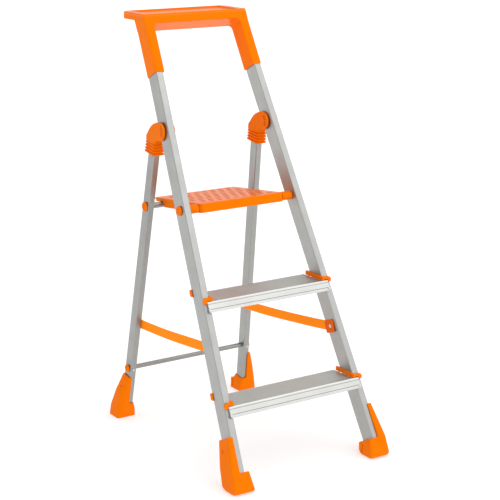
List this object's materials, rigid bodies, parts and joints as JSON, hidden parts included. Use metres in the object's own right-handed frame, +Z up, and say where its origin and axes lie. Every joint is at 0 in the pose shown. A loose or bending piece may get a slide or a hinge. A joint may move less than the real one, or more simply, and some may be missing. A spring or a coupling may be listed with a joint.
{
  "type": "folding step ladder",
  "caption": "Folding platform step ladder: leaning front frame with treads and handle tray, hinged rear frame, lift-up standing platform and side straps.",
  "frame": {"origin": "centre of the overall footprint, on the floor", "axes": "+X to the climber's right, +Y from the climbing side to the back, +Z up"},
  "size_m": [0.493, 0.6952, 1.14],
  "materials": {
    "anodised_section": "satin drawn section, clear anodised",
    "step_aluminium": "satin drawn section with fine tread grooves",
    "tube_aluminium": "satin drawn tube",
    "steel_pin": "bright drawn bar",
    "rivet_aluminium": "satin pressed head",
    "strap_webbing": "woven webbing",
    "handle_plastic": "smooth moulded, slight gloss",
    "shoe_plastic": "soft moulded, satin",
    "platform_plastic": "moulded with raised tread blocks",
    "orange_plastic": "moulded, satin"
  },
  "bodies": {
    "front_frame": {"left_stile": "anodised_section", "right_stile": "anodised_section", "top_handle_tray": "handle_plastic", "step_1_tread": "step_aluminium", "step_2_tread": "step_aluminium", "step_1_left_clip": "orange_plastic", "step_1_right_clip": "orange_plastic", "step_2_left_clip": "orange_plastic", "step_2_right_clip": "orange_plastic", "step_rivets": "rivet_aluminium", "front_left_shoe": "shoe_plastic", "front_right_shoe": "shoe_plastic", "platform_rod": "steel_pin", "stile_plugs": "orange_plastic", "left_rod_spacer": "orange_plastic", "right_rod_spacer": "orange_plastic", "left_hinge_pin": "steel_pin", "right_hinge_pin": "steel_pin", "strap_front_rivets": "rivet_aluminium", "left_strap": "strap_webbing", "right_strap": "strap_webbing"},
    "rear_frame": {"left_rear_leg": "anodised_section", "right_rear_leg": "anodised_section", "left_hinge_knuckle": "orange_plastic", "right_hinge_knuckle": "orange_plastic", "upper_rear_tube": "tube_aluminium", "lower_rear_tube": "tube_aluminium", "upper_tube_plugs": "orange_plastic", "lower_tube_plugs": "orange_plastic", "lower_tube_rivets": "rivet_aluminium", "strap_rear_rivets": "rivet_aluminium", "rear_left_shoe": "shoe_plastic", "rear_right_shoe": "shoe_plastic"},
    "platform": {"platform": "platform_plastic"}
  },
  "joints": [
    {"name": "rear_frame_fold", "type": "hinge", "parent": "front_frame", "child": "rear_frame", "pos_m": [0, 0.12149, 0.844], "axis": [-1, 0, 0], "range_deg": [0, 29], "deforming": ["left_strap", "right_strap"]},
    {"name": "platform_lift", "type": "hinge", "parent": "front_frame", "child": "platform", "pos_m": [0, 0.01068, 0.654], "axis": [1, 0, 0], "range_deg": [0, 70]}
  ],
  "couplings": [
    {"joint": "platform_lift", "follows": "rear_frame_fold", "ratio": 2.4}
  ]
}
